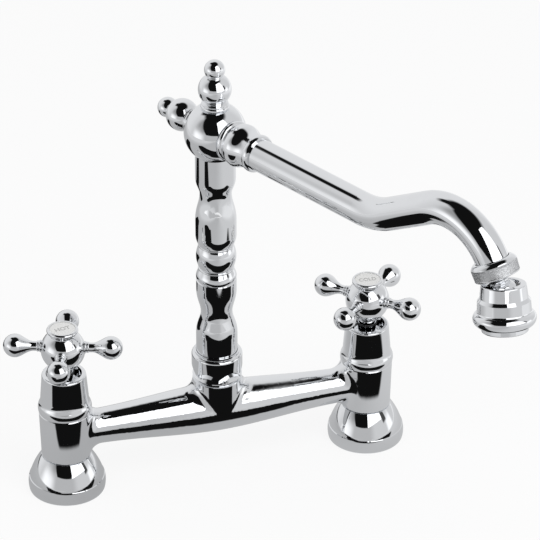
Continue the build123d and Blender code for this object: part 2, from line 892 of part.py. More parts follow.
with BuildPart() as collar_nut:
    with BuildSketch(column_section):
        with BuildLine():
            nut_outline()
        make_face()
    revolve(axis=column_axis)
    # six flats that lean in towards the foot
    with BuildSketch(Plane.XY.offset(boss_top + nut_foot_height)):
        RegularPolygon(flats_radius(nut_foot_height), 6, major_radius=False, rotation=flat_corner_turn)
    extrude(amount=nut_height, taper=-flat_lean, mode=Mode.INTERSECT)
    with BuildSketch(column_section):
        with BuildLine():
            nut_foot_outline()
        make_face()
    revolve(axis=column_axis)
save(collar_nut.part, "collar_nut")


def waist(foot_radius, foot, place, top_radius, top):
    """A smooth waist between two straight stretches, narrowest at a place above its foot."""
    narrowest = (column_waist_radius, foot + place)
    upright = (0, 1)
    Spline((foot_radius, foot), narrowest, (top_radius, top), tangents=(upright, upright, upright))


def lip(foot, inner_foot, inner_top):
    """A thin ring at one end of the bead."""
    top = foot + bead_lip_height
    ThreePointArc((inner_foot, foot), (bead_lip_radius, (foot + top) / 2), (inner_top, top))


def column_outline():
    ring_foot = middle_top + bead_ring_foot
    Polyline(
        (column_upper_radius, column_top),
        (column_tenon_radius, column_top),
        (column_tenon_radius, column_top + column_tenon_height),
        (column_bore, column_top + column_tenon_height),
        (column_bore, column_foot),
        (column_spigot_radius, column_foot),
        (column_spigot_radius, column_shoulder),
        (column_radius, column_shoulder),
        (column_radius, lower_waist_foot),
    )
    waist(column_radius, lower_waist_foot, lower_waist_place, column_middle_radius, lower_waist_top)
    Polyline(
        (column_middle_radius, lower_waist_top),
        (column_middle_radius, middle_top),
        (bead_ring_groove_radius, ring_foot),
    )
    Spline(
        (bead_ring_groove_radius, ring_foot),
        (bead_ring_radius, middle_top + bead_ring_widest),
        (bead_groove_radius, bead_ring_top),
        tangents=((1, 2), (-1, 2)),
    )
    lip(bead_ring_top, bead_groove_radius, bead_groove_radius)
    ThreePointArc(
        (bead_groove_radius, bead_foot),
        (bead_radius, (bead_foot + bead_top) / 2),
        (bead_groove_radius, bead_top),
    )
    lip(bead_top, bead_groove_radius, bead_groove_radius)
    Line((bead_groove_radius, upper_bowl_foot), (upper_bowl_foot_radius, upper_bowl_foot))
    SagittaArc(
        (upper_bowl_foot_radius, upper_bowl_foot),
        (column_upper_foot_radius, upper_bowl_top),
        -upper_bowl_bulge,
    )
    Line((column_upper_foot_radius, upper_bowl_top), (column_upper_foot_radius, upper_waist_foot))
    waist(column_upper_foot_radius, upper_waist_foot, upper_waist_place, column_upper_radius, upper_waist_top)
    Line((column_upper_radius, upper_waist_top), (column_upper_radius, column_top))


seal_groove = column_spigot_radius - 2 * column_seal_section
seal_heights = [column_foot + place for place in column_seal_places]
with BuildPart() as spout_column:
    with BuildSketch(column_section):
        with BuildLine():
            column_outline()
        make_face()
    revolve(axis=column_axis)
    # grooves for the seal rings and for the retaining ring
    for height in seal_heights:
        with BuildSketch(Plane.XY.offset(height - column_seal_section - fit)):
            Circle(column_spigot_radius)
            Circle(seal_groove, mode=Mode.SUBTRACT)
        extrude(amount=2 * (column_seal_section + fit), mode=Mode.SUBTRACT)
    with BuildSketch(Plane.XY.offset(retainer_bottom)):
        Circle(column_radius)
        Circle(column_radius - retainer_groove, mode=Mode.SUBTRACT)
    extrude(amount=retainer_thickness, mode=Mode.SUBTRACT)
save(spout_column.part, "spout_column")

with BuildPart() as column_seals:
    with BuildSketch(column_section):
        for height in seal_heights:
            with Locations((seal_groove + column_seal_section, height)):
                Circle(column_seal_section)
    revolve(axis=column_axis)
save(column_seals.part, "column_seals")

with BuildPart() as retaining_ring:
    with BuildSketch(Plane.XY.offset(retainer_bottom)):
        Circle(retainer_radius)
        Circle(column_radius - retainer_groove, mode=Mode.SUBTRACT)
        with Locations((0, retainer_radius)):
            Rectangle(retainer_gap, 2 * retainer_radius, mode=Mode.SUBTRACT)
    extrude(amount=retainer_thickness)
save(retaining_ring.part, "column_retaining_ring")


# ---- Hub and finials ----
with BuildPart() as spout_hub:
    with Locations(hub_centre):
        Sphere(hub_radius)
    flats = (
        (-up, hub_flat),
        (up, finial_flat),
        (-spout_direction, finial_flat),
        (spout_direction, neck_start),
    )
    for direction, flat in flats:
        with BuildSketch(Plane(origin=hub_centre + direction * flat, z_dir=direction)):
            Circle(hub_radius)
        extrude(amount=hub_radius - flat, mode=Mode.SUBTRACT)
    for direction in (up, -spout_direction):
        with BuildSketch(Plane(origin=hub_centre + direction * finial_flat, z_dir=direction)):
            Circle(finial_stud_radius + fit)
        extrude(amount=-(finial_stud_length + fit), mode=Mode.SUBTRACT)
    with BuildSketch(Plane.XY.offset(column_top)):
        Circle(column_tenon_radius + fit)
    extrude(amount=column_tenon_height + fit, mode=Mode.SUBTRACT)
    with BuildSketch(Plane.XY.offset(column_top)):
        Circle(hub_waterway)
    extrude(amount=hub_flat, mode=Mode.SUBTRACT)
    with BuildSketch(Plane(origin=hub_centre, z_dir=spout_direction)):
        Circle(hub_waterway)
    extrude(amount=neck_start, mode=Mode.SUBTRACT)
    with BuildSketch(Plane(origin=hub_centre + spout_direction * neck_start, z_dir=spout_direction)):
        Circle(neck_spigot_radius + fit)
    extrude(amount=-(neck_spigot_length + fit), mode=Mode.SUBTRACT)
save(spout_hub.part, "spout_hub")


def finial_outline():
    collar_top = finial_flat + finial_collar_height
    ring_foot = collar_top + finial_groove_height
    big_foot = finial_big_place - sqrt(finial_big_radius**2 - finial_cove_radius**2)
    big_top = finial_big_place + sqrt(finial_big_radius**2 - finial_neck_radius**2)
    small_foot = finial_small_place - sqrt(finial_small_radius**2 - finial_neck_radius**2)
    tip = finial_small_place + finial_small_radius
    Polyline(
        (0, tip),
        (0, finial_flat - finial_stud_length),
        (finial_stud_radius, finial_flat - finial_stud_length),
        (finial_stud_radius, finial_flat),
        (finial_groove_radius, finial_flat),
    )
    ThreePointArc(
        (finial_groove_radius, finial_flat),
        (finial_collar_radius, (finial_flat + collar_top) / 2),
        (finial_groove_radius, collar_top),
    )
    ThreePointArc(
        (finial_groove_radius, collar_top),
        (finial_ring_radius, (collar_top + ring_foot) / 2),
        (finial_groove_radius, ring_foot),
    )
    Line((finial_groove_radius, ring_foot), (finial_cove_radius, big_foot))
    ThreePointArc(
        (finial_cove_radius, big_foot), (finial_big_radius, finial_big_place), (finial_neck_radius, big_top)
    )
    Line((finial_neck_radius, big_top), (finial_neck_radius, small_foot))
    ThreePointArc((finial_neck_radius, small_foot), (finial_small_radius, finial_small_place), (0, tip))


save(turned(section_plane(hub_centre, up), finial_outline), "top_finial")
save(turned(section_plane(hub_centre, -spout_direction), finial_outline), "rear_finial")


# ---- Neck collar and tube ----
spout_section = section_plane(hub_centre, spout_direction)


def neck_outline():
    bore = tube_radius + fit
    groove_top = neck_ring_end + (neck_barrel_start - neck_ring_end) / 2
    lip_foot = neck_end - neck_lip_length
    Polyline(
        (neck_lip_radius - neck_lip_edge, neck_end),
        (bore, neck_end),
        (bore, tube_start),
        (neck_waterway, tube_start),
        (neck_waterway, neck_start - neck_spigot_length),
        (neck_spigot_radius, neck_start - neck_spigot_length),
        (neck_spigot_radius, neck_start),
        (neck_groove_radius, neck_start),
    )
    ThreePointArc(
        (neck_groove_radius, neck_start),
        (neck_ring_radius, (neck_start + neck_ring_end) / 2),
        (neck_groove_radius, neck_ring_end),
    )
    Polyline(
        (neck_groove_radius, neck_ring_end),
        (neck_groove_radius, groove_top),
        (neck_barrel_start_radius, neck_barrel_start),
    )
    Spline(
        (neck_barrel_start_radius, neck_barrel_start),
        (neck_barrel_radius, neck_barrel_place),
        (neck_waist_radius, neck_waist_place),
        tangents=((1, 2), (0, 1)),
    )
    Line((neck_waist_radius, neck_waist_place), (neck_waist_radius, lip_foot))
    ThreePointArc(
        (neck_waist_radius, lip_foot),
        (neck_lip_radius, (lip_foot + neck_end - neck_lip_edge) / 2),
        (neck_lip_radius - neck_lip_edge, neck_end),
    )


with BuildPart() as neck_collar:
    with BuildSketch(spout_section):
        with BuildLine():
            neck_outline()
        make_face()
    revolve(axis=axis_of(spout_section))
    seal_start = hub_centre + spout_direction * (tube_seal_place - tube_seal_section - fit)
    with BuildSketch(Plane(origin=seal_start, z_dir=spout_direction)):
        Circle(tube_radius + 2 * tube_seal_section + fit)
        Circle(tube_radius, mode=Mode.SUBTRACT)
    extrude(amount=2 * (tube_seal_section + fit), mode=Mode.SUBTRACT)
save(neck_collar.part, "neck_collar")
save(
    seal_ring(spout_section, tube_radius + tube_seal_section, tube_seal_place, tube_seal_section),
    "tube_seal",
)

with BuildPart() as spout_tube:
    with BuildLine(spout_plane) as tube_path:
        Line((tube_start, 0), (tube_first_bend, 0))
        CenterArc(first_bend, tube_first_radius, -90, tube_rise)
        Line(rise_start, rise_end)
        CenterArc(crest, tube_crest_radius, 90 + tube_rise, -(tube_rise + tube_fall))
        Line(fall_start, fall_end)
    with BuildSketch(Plane(origin=hub_centre + spout_direction * tube_start, z_dir=spout_direction)):
        Circle(tube_radius)
        Circle(tube_radius - tube_wall, mode=Mode.SUBTRACT)
    sweep(path=tube_path.wires()[0])
save(spout_tube.part, "spout_tube")


# ---- Knurled nut and swivel ball at the end of the tube ----
outlet_section = section_plane(nut_origin, nut_axis)
save(ring(outlet_section, tube_radius, ferrule_radius, ferrule_start, tube_end_length), "tube_ferrule")
save(ring(outlet_section, washer_bore, ferrule_radius - fit, washer_top, washer_foot), "swivel_washer")


def knurled_nut_outline():
    hole = tube_radius + knurl_nut_tube_gap
    band_foot = knurl_nut_length - knurl_nut_edge
    Polyline(
        (knurl_nut_shoulder_radius, -knurl_nut_shoulder),
        (hole, -knurl_nut_shoulder),
        (hole, ferrule_start),
        (knurl_bore, ferrule_start),
        (knurl_bore, knurl_nut_length),
        (knurl_nut_foot_radius - knurl_nut_edge, knurl_nut_length),
        (knurl_nut_foot_radius, band_foot),
        (knurl_nut_radius, 0),
    )
    SagittaArc(
        (knurl_nut_radius, 0), (knurl_nut_shoulder_radius, -knurl_nut_shoulder), knurl_nut_shoulder_bulge
    )


save(turned(outlet_section, knurled_nut_outline), "knurled_nut")


def swivel_outline():
    ball_start = ball_place - sqrt(ball_radius**2 - swivel_neck_radius**2)
    ball_end = ball_place + sqrt(ball_radius**2 - swivel_bore**2)
    Polyline(
        (swivel_bore, ball_end),
        (swivel_bore, washer_foot),
        (ferrule_radius, washer_foot),
        (ferrule_radius, swivel_foot),
        (swivel_cone_radius, swivel_foot),
    )
    SagittaArc((swivel_cone_radius, swivel_foot), (swivel_neck_radius, ball_start), swivel_cone_hollow)
    ThreePointArc((swivel_neck_radius, ball_start), (ball_radius, ball_place), (swivel_bore, ball_end))


save(turned(outlet_section, swivel_outline), "swivel_ball")


# ---- Aerator: it swings and tilts on the swivel ball, and spins on its own axis ----
aerator_section = section_plane(ball_centre, aerator_axis)


def ball_ring_outline():
    inner = ball_radius + fit
    outer = socket_radius - fit
    half = ball_ring_height / 2
    inner_edge = sqrt(inner**2 - half**2)
    outer_edge = sqrt(outer**2 - half**2)
    ThreePointArc((inner_edge, -half), (inner, 0), (inner_edge, half))
    Line((inner_edge, half), (outer_edge, half))
    ThreePointArc((outer_edge, half), (outer, 0), (outer_edge, -half))
    Line((outer_edge, -half), (inner_edge, -half))


save(turned(section_plane(ball_centre, nut_axis), ball_ring_outline), "ball_ring")


def ball_seat_outline():
    sphere = ball_radius + fit
    top_inner = sqrt(sphere**2 - seat_top**2)
    bore_top = sqrt(sphere**2 - seat_bore**2)
    outer = socket_radius - seat_clearance
    middle = (top_inner + seat_bore) / 2
    Polyline(
        (seat_bore, bore_top),
        (seat_bore, seat_bottom),
        (outer, seat_bottom),
        (outer, seat_top),
        (top_inner, seat_top),
    )
    ThreePointArc((top_inner, seat_top), (middle, sqrt(sphere**2 - middle**2)), (seat_bore, bore_top))


save(turned(aerator_section, ball_seat_outline), "ball_seat")


def cap_outline():
    lip = cap_top - cap_mouth_depth
    lip_radius = sqrt(socket_radius**2 - lip**2)
    middle = lip / 2
    Polyline(
        (cap_top_radius - cap_edge, -cap_top),
        (cap_mouth_radius, -cap_top),
        (lip_radius, -lip),
    )
    ThreePointArc((lip_radius, -lip), (sqrt(socket_radius**2 - middle**2), -middle), (socket_radius, 0))
    Polyline(
        (socket_radius, 0),
        (socket_radius, cap_skirt_foot),
        (cap_skirt_radius, cap_skirt_foot),
        (cap_skirt_radius, cap_foot),
        (cap_foot_radius, cap_foot),
        (cap_top_radius, cap_edge - cap_top),
    )
    RadiusArc((cap_top_radius, cap_edge - cap_top), (cap_top_radius - cap_edge, -cap_top), cap_edge)


save(turned(aerator_section, cap_outline), "aerator_cap")


def flange_top_place():
    """Where the flange's upper curve meets the straight band."""
    inwards = aerator_band_radius - aerator_flange_radius + aerator_flange_section
    return aerator_flange_place - sqrt(aerator_flange_section**2 - inwards**2)


def aerator_body_outline():
    upper_middle = aerator_flange_radius - aerator_flange_section
    bowl_middle = aerator_flange_radius - aerator_bowl_section
    flange_top = flange_top_place()
    halfway = sqrt(0.5)
    top_bore = cap_skirt_radius + fit
    Polyline(
        (bowl_middle, aerator_foot),
        (aerator_bore, aerator_foot),
        (aerator_bore, floor_bottom),
        (aerator_hole, floor_bottom),
        (aerator_hole, floor_top),
        (top_bore, floor_top),
        (top_bore, cap_foot),
        (cap_foot_radius, cap_foot),
        (aerator_bevel_radius, aerator_bevel_foot),
        (aerator_band_radius, flange_top),
    )
    ThreePointArc(
        (aerator_band_radius, flange_top),
        (
            upper_middle + aerator_flange_section * halfway,
            aerator_flange_place - aerator_flange_section * halfway,
        ),
        (aerator_flange_radius, aerator_flange_place),
    )
    ThreePointArc(
        (aerator_flange_radius, aerator_flange_place),
        (bowl_middle + aerator_bowl_section * halfway, aerator_flange_place + aerator_bowl_section * halfway),
        (bowl_middle, aerator_foot),
    )


with BuildPart() as aerator_body:
    with BuildSketch(aerator_section) as body_sketch:
        with BuildLine():
            aerator_body_outline()
        make_face()
        cove = body_sketch.vertices().sort_by_distance((aerator_band_radius, flange_top_place()))[0]
        fillet(cove, radius=aerator_flange_fillet)
    revolve(axis=axis_of(aerator_section))
save(aerator_body.part, "aerator_body")
save(
    ring(aerator_section, aerator_washer_inner, aerator_washer_outer, floor_bottom, aerator_washer_foot),
    "aerator_washer",
)


def insert_outline():
    spigot = aerator_bore - fit
    Polyline(
        (insert_radius - insert_edge, insert_foot),
        (insert_bore, insert_foot),
        (insert_bore, flow_plate_top),
        (insert_web_bore, flow_plate_top),
        (insert_web_bore, spreader_foot),
        (insert_bore, spreader_foot),
        (insert_bore, aerator_washer_foot),
        (spigot, aerator_washer_foot),
        (spigot, aerator_foot),
        (insert_radius, aerator_foot),
        (insert_radius, insert_foot - insert_edge),
    )
    RadiusArc(
        (insert_radius, insert_foot - insert_edge),
        (insert_radius - insert_edge, insert_foot),
        -insert_edge,
    )


save(turned(aerator_section, insert_outline), "aerator_insert")


def across_aerator(place):
    return Plane(origin=ball_centre + aerator_axis * place, z_dir=aerator_axis)


with BuildPart() as flow_spreader:
    with BuildSketch(across_aerator(aerator_washer_foot)):
        Circle(insert_bore - fit)
        with PolarLocations(spreader_slot_place, spreader_slots):
            SlotOverall(spreader_slot_length, spreader_slot_width, mode=Mode.SUBTRACT)
    extrude(amount=spreader_thickness)
save(flow_spreader.part, "flow_spreader")

with BuildPart() as flow_plate:
    with BuildSketch(across_aerator(flow_plate_top)):
        Circle(insert_bore - fit)
        Circle(flow_hole_radius, mode=Mode.SUBTRACT)
        for row in range(1, int((insert_web_bore - flow_hole_radius) / flow_hole_pitch) + 1):
            with PolarLocations(row * flow_hole_pitch, row * first_row_holes):
                Circle(flow_hole_radius, mode=Mode.SUBTRACT)
    extrude(amount=flow_plate_thickness)
save(flow_plate.part, "flow_plate")
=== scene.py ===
import bpy
import json
from math import atan2, cos, pi, radians, sin
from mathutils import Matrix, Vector


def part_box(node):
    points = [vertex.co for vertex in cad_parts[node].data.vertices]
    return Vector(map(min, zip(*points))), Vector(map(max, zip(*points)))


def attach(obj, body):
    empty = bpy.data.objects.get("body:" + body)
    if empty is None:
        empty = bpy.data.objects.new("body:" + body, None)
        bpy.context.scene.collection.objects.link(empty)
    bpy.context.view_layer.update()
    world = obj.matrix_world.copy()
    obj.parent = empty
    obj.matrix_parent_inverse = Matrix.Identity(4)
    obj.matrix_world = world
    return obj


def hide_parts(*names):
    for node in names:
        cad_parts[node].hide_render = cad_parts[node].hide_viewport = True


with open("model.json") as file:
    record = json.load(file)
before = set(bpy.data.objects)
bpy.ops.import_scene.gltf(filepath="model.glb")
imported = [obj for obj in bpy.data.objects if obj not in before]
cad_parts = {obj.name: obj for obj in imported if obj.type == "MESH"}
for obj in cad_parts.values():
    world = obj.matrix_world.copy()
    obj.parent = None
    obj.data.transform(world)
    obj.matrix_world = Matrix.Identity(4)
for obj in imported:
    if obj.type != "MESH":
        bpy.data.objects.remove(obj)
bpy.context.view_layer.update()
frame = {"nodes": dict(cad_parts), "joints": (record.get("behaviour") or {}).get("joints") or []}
nodes = frame["nodes"]
mm = 0.001
print("frame loaded:", len(nodes), "nodes")

# the camera stands in front, a little to the left, and looks down on the faucet
shot = {
    "turn": -17.164,  # degrees
    "height": 31.295,
    "distance": 2.195215,  # metres
    "aim": (0.031638, 0.0, 0.122329),
    "lens": 258.872,
}


def fromFront(turn, height):
    # a direction out from the faucet: turn 0 is the front, positive to the right
    flat = cos(radians(height))
    return Vector((sin(radians(turn)) * flat, -cos(radians(turn)) * flat, sin(radians(height))))


def addCamera():
    outwards = fromFront(shot["turn"], shot["height"])
    bpy.ops.object.camera_add()
    camera = bpy.context.object
    camera.name = "camera"
    camera.location = Vector(shot["aim"]) + outwards * shot["distance"]
    camera.rotation_euler = outwards.to_track_quat("Z", "Y").to_euler()
    camera.data.lens = shot["lens"]
    camera.data.clip_end = 50
    bpy.context.scene.camera = camera


addCamera()
print("camera placed")


# small helpers for node trees, where a term is a number or the socket that gives it
def addNode(tree, kind, **settings):
    node = tree.nodes.new(kind)
    for key, value in settings.items():
        if key in node.inputs:
            node.inputs[key].default_value = value
        else:
            setattr(node, key, value)
    return node


def feed(tree, socket, term):
    if isinstance(term, (int, float)):
        socket.default_value = term
    else:
        tree.links.new(term, socket)


def calc(tree, operation, *terms):
    node = addNode(tree, "ShaderNodeMath", operation=operation)
    for socket, term in zip(node.inputs, terms):
        feed(tree, socket, term)
    return node.outputs["Value"]


def remap(tree, value, low, high, start=0.0, end=1.0, way="LINEAR"):
    # start at low and below, end at high and above
    node = addNode(tree, "ShaderNodeMapRange", interpolation_type=way)
    names = ("Value", "From Min", "From Max", "To Min", "To Max")
    for name, term in zip(names, (value, low, high, start, end)):
        feed(tree, node.inputs[name], term)
    return node.outputs["Result"]


def ease(tree, value, low, high):
    # 0 below low, 1 above high, smooth between
    return remap(tree, value, low, high, way="SMOOTHSTEP")


def near(tree, value, middle, inner, outer):
    # 1 within inner of the middle, 0 beyond outer
    away = calc(tree, "ABSOLUTE", calc(tree, "SUBTRACT", value, middle))
    return calc(tree, "SUBTRACT", 1.0, ease(tree, away, inner, outer))


def mixColors(tree, share, first, second):
    mix = addNode(tree, "ShaderNodeMix", data_type="RGBA")
    mix.inputs["A"].default_value = (*first, 1)
    mix.inputs["B"].default_value = (*second, 1)
    tree.links.new(share, mix.inputs["Factor"])
    return mix.outputs["Result"]


def addNoise(tree, scale, **settings):
    # noise over the piece's own coordinates
    place = addNode(tree, "ShaderNodeTexCoord")
    noise = addNode(tree, "ShaderNodeTexNoise", **settings)
    tree.links.new(place.outputs["Object"], noise.inputs["Vector"])
    feed(tree, noise.inputs["Scale"], scale)
    return noise.outputs["Fac"]


def newGroup(name, inputs, outputs):
    # every socket of these groups is a number
    group = bpy.data.node_groups.new(name, "ShaderNodeTree")
    for labels, side in ((inputs, "INPUT"), (outputs, "OUTPUT")):
        for label in labels:
            group.interface.new_socket(name=label, in_out=side, socket_type="NodeSocketFloat")
    return group, group.nodes.new("NodeGroupInput"), group.nodes.new("NodeGroupOutput")


# marks of use on the plate
marks = {
    "blotchEdge": (0.5, 0.78),  # where in the noise a blotch starts and is full
    "fineScale": 900.0,
    "hairEdge": (0.62, 0.72),
    "hairTilt": 0.4,
    "hairWays": ((0.5, (1500, 40, 60)), (1.9, (50, 1300, 45))),  # turn, and stretch of the noise
    "hairRoughness": 0.05,
}
bumpStrength = 0.5


def makeHaze():
    # thumb marks and dried water: blotches that dull the polish a little
    group, given, result = newGroup("handMarks", ("Clean", "Dull", "Scale"), ("Roughness", "Mask"))
    blotch = addNoise(group, given.outputs["Scale"], Detail=5.0, Roughness=0.62)
    fine = addNoise(group, marks["fineScale"], Detail=2.0)
    mask = calc(group, "MULTIPLY", remap(group, blotch, *marks["blotchEdge"]), fine)
    rough = remap(group, mask, 0.0, 1.0, given.outputs["Clean"], given.outputs["Dull"])
    group.links.new(rough, result.inputs["Roughness"])
    group.links.new(mask, result.inputs["Mask"])
    return group


def makeScratches():
    # hairlines from wiping, in two crossing directions
    group, given, result = newGroup("wipeMarks", ("Amount",), ("Height",))
    link = group.links.new
    lines = []
    for turn, stretch in marks["hairWays"]:
        place = addNode(group, "ShaderNodeTexCoord")
        rotation = (marks["hairTilt"], turn, turn)
        mapping = addNode(group, "ShaderNodeMapping", Rotation=rotation, Scale=stretch)
        noise = addNode(group, "ShaderNodeTexNoise", Scale=1.0, Detail=3.0)
        link(place.outputs["Object"], mapping.inputs["Vector"])
        link(mapping.outputs["Vector"], noise.inputs["Vector"])
        lines.append(remap(group, noise.outputs["Fac"], *marks["hairEdge"]))
    height = calc(group, "MULTIPLY", calc(group, "MAXIMUM", *lines), given.outputs["Amount"])
    link(height, result.inputs["Height"])
    return group


def makeGrain():
    # an even fine grain, for rubber, moulded plastic and matt metal
    group, given, result = newGroup("fineGrain", ("Scale", "Low", "High"), ("Roughness", "Height"))
    noise = addNoise(group, given.outputs["Scale"], Detail=4.0)
    rough = remap(group, noise, 0.0, 1.0, given.outputs["Low"], given.outputs["High"])
    group.links.new(rough, result.inputs["Roughness"])
    group.links.new(noise, result.inputs["Height"])
    return group


handMarks = makeHaze()
wipeMarks = makeScratches()
fineGrain = makeGrain()


def newMaterial(name, color, metallic):
    material = bpy.data.materials.new(name)
    material.use_nodes = True
    tree = material.node_tree
    shader = tree.nodes["Principled BSDF"]
    shader.inputs["Base Color"].default_value = (*color, 1)
    shader.inputs["Metallic"].default_value = metallic
    material.diffuse_color = (*color, 1)
    return material, tree, shader


def placeGroup(tree, group, **values):
    node = tree.nodes.new("ShaderNodeGroup")
    node.node_tree = group
    for key, value in values.items():
        node.inputs[key].default_value = value
    return node


def bumpInto(tree, shader, height, distance):
    bump = addNode(tree, "ShaderNodeBump", Distance=distance, Strength=bumpStrength)
    tree.links.new(height, bump.inputs["Height"])
    tree.links.new(bump.outputs["Normal"], shader.inputs["Normal"])


# bright plate over each way the brass below was shaped: how rough it is where clean and where dull, the
# scales of its marks and its ripple, the ripple's depth in metres and how much the hairlines show
plate = {
    "cast": {"clean": 0.03, "dull": 0.1, "scale": 38, "ripple": 30, "depth": 0.00002, "hairs": 0.35},
    "turned": {"clean": 0.025, "dull": 0.085, "scale": 55, "ripple": 80, "depth": 0.000006, "hairs": 0.3},
    "drawn": {"clean": 0.025, "dull": 0.09, "scale": 45, "ripple": 24, "depth": 0.000012, "hairs": 0.3},
    "forged": {"clean": 0.03, "dull": 0.12, "scale": 70, "ripple": 55, "depth": 0.000012, "hairs": 0.45},
    "knurled": {"clean": 0.34, "dull": 0.46, "scale": 90, "ripple": 750, "depth": 0.0007, "hairs": 0.2,
                "paintedShade": 0.7},  # painted shade of the knurl's grooves: the share of the plate's colour that is left
}
plateColor = (0.86, 0.87, 0.885)
hazeColor = (0.80, 0.805, 0.815)


def makePlate(name, look):
    # a share below 1 paints shade into the plate's colour, where the knurl's grooves would shade it
    paintedShade = look.get("paintedShade", 1.0)
    clean, worn = ([paintedShade * value for value in color] for color in (plateColor, hazeColor))
    material, tree, shader = newMaterial(name, clean, 1.0)
    haze = placeGroup(tree, handMarks, Clean=look["clean"], Dull=look["dull"], Scale=look["scale"])
    hairs = placeGroup(tree, wipeMarks, Amount=look["hairs"])
    color = mixColors(tree, haze.outputs["Mask"], clean, worn)
    hairLines = hairs.outputs["Height"]
    rough = calc(tree, "MULTIPLY_ADD", hairLines, marks["hairRoughness"], haze.outputs["Roughness"])
    tree.links.new(color, shader.inputs["Base Color"])
    tree.links.new(rough, shader.inputs["Roughness"])
    bumpInto(tree, shader, addNoise(tree, look["ripple"], Detail=1.5), look["depth"])
    return material


chromeCast = makePlate("chrome_cast", plate["cast"])
chromeTurned = makePlate("chrome_turned", plate["turned"])
chromeDrawn = makePlate("chrome_drawn", plate["drawn"])
chromeForged = makePlate("chrome_forged", plate["forged"])
chromeKnurled = makePlate("chrome_knurled", plate["knurled"])

# the other materials: how rough they are at the two ends of the grain, its scale and its depth in metres
plainLooks = {
    "black_rubber": {"color": (0.018, 0.018, 0.019), "rough": (0.45, 0.7), "grain": 1400, "depth": 0.00004},
    "turned_brass": {"color": (0.74, 0.55, 0.26), "rough": (0.18, 0.34), "grain": 900, "depth": 0.00001,
                     "metallic": 1.0},
    "plain_steel": {"color": (0.62, 0.62, 0.63), "rough": (0.2, 0.36), "grain": 800, "depth": 0.00001,
                    "metallic": 1.0},
    "white_ceramic": {"color": (0.88, 0.87, 0.84), "rough": (0.12, 0.24), "grain": 1500, "depth": 0.00001},
    "white_acetal": {"color": (0.78, 0.78, 0.75), "rough": (0.35, 0.5), "grain": 1100, "depth": 0.00002},
    "white_enamel": {"color": (0.83, 0.83, 0.81), "rough": (0.22, 0.36), "grain": 1300, "depth": 0.00001},
    "letter_grey": {"color": (0.48, 0.48, 0.47), "rough": (0.4, 0.5), "grain": 1500, "depth": 0.00001},
}
grainShade = 0.86  # the colour's share that is left on the grain's heights


def makePlain(name):
    look = plainLooks[name]
    material, tree, shader = newMaterial(name, look["color"], look.get("metallic", 0.0))
    low, high = look["rough"]
    grain = placeGroup(tree, fineGrain, Scale=look["grain"], Low=low, High=high)
    shaded = [grainShade * value for value in look["color"]]
    color = mixColors(tree, grain.outputs["Height"], look["color"], shaded)
    tree.links.new(color, shader.inputs["Base Color"])
    tree.links.new(grain.outputs["Roughness"], shader.inputs["Roughness"])
    bumpInto(tree, shader, grain.outputs["Height"], look["depth"])
    return material


blackRubber = makePlain("black_rubber")
turnedBrass = makePlain("turned_brass")
plainSteel = makePlain("plain_steel")
whiteCeramic = makePlain("white_ceramic")
whiteAcetal = makePlain("white_acetal")
whiteEnamel = makePlain("white_enamel")
letterGrey = makePlain("letter_grey")
print("materials made")

# what isn't named here is turned chrome
finishes = {
    "spout_tube": chromeDrawn,
    "bridge_body": chromeCast,
    "spout_hub": chromeForged,
    "handle_hub": chromeForged,
    "handle_arms": chromeForged,
    "spindle": turnedBrass,
    "fixed_disc": whiteCeramic,
    "moving_disc": whiteCeramic,
    "index_disc": whiteEnamel,
    "base_gasket": blackRubber,
    "seat_seal": blackRubber,
    "spindle_seal": blackRubber,
    "handle_screw": plainSteel,
    "column_seals": blackRubber,
    "column_retaining_ring": plainSteel,
    "tube_seal": blackRubber,
    "swivel_washer": blackRubber,
    "aerator_washer": blackRubber,
    "ball_ring": whiteAcetal,
    "ball_seat": whiteAcetal,
    "flow_spreader": whiteAcetal,
    "flow_plate": plainSteel,
}


def finishOf(name):
    kind = name.removeprefix("hot_").removeprefix("cold_")
    return finishes.get(kind, chromeTurned)


for name, piece in nodes.items():
    piece.data.materials.clear()
    piece.data.materials.append(finishOf(name))
print("finishes laid on the frame")


def deselectAll():
    bpy.ops.object.select_all(action="DESELECT")


def selectOnly(piece):
    deselectAll()
    piece.select_set(True)
    bpy.context.view_layer.objects.active = piece


def settle(piece):
    # put the place and the turn of a finished piece into its mesh
    selectOnly(piece)
    bpy.ops.object.transform_apply(location=True, rotation=True, scale=True)


# the knurled nut, which takes the place of the plain one: sizes in mm along its own axis, and its outline
# as pairs of a radius and a height
knurled = {
    "around": 88,  # diamonds
    "samples": 4,  # points to each diamond
    "rows": 28,
    "pitch": 0.9,
    "depth": 0.24,
    "runOut": 0.5,  # the knurl gets shallow over this length at both ends
    "plainEnd": 0.05,
    "knurlFrom": 12.0,  # least radius that the knurl is pressed into
    "plateFrom": 11.8,  # least radius that takes the knurled plate
    "smoothBelow": 32,  # degrees between two faces
    "ballPlace": 16.5,  # centre of the swivel ball below the nut's origin
    "shoulder": [(9.3, -2.6), (10.3, -2.6), (10.62, -2.5), (11.5, -1.75), (12.2, -0.85), (12.5, -0.3)],
    "bandTop": 12.6,
    "bandFoot": 12.25,
    "bandLength": 6.1,
    "mouth": [(12.15, 6.45), (11.9, 6.7), (11.6, 6.8), (10.85, 6.8), (10.85, -0.4), (9.3, -0.4)],
}
touching = 0.01 * mm


def diamond(turn, height, look):
    # 1 on the points of the knurl and 0 in its grooves
    across = turn * look["around"] / (2 * pi)
    along = height / look["pitch"]
    ways = [abs(2 * ((across + sign * along) % 1.0) - 1) for sign in (1, -1)]
    return min(ways)


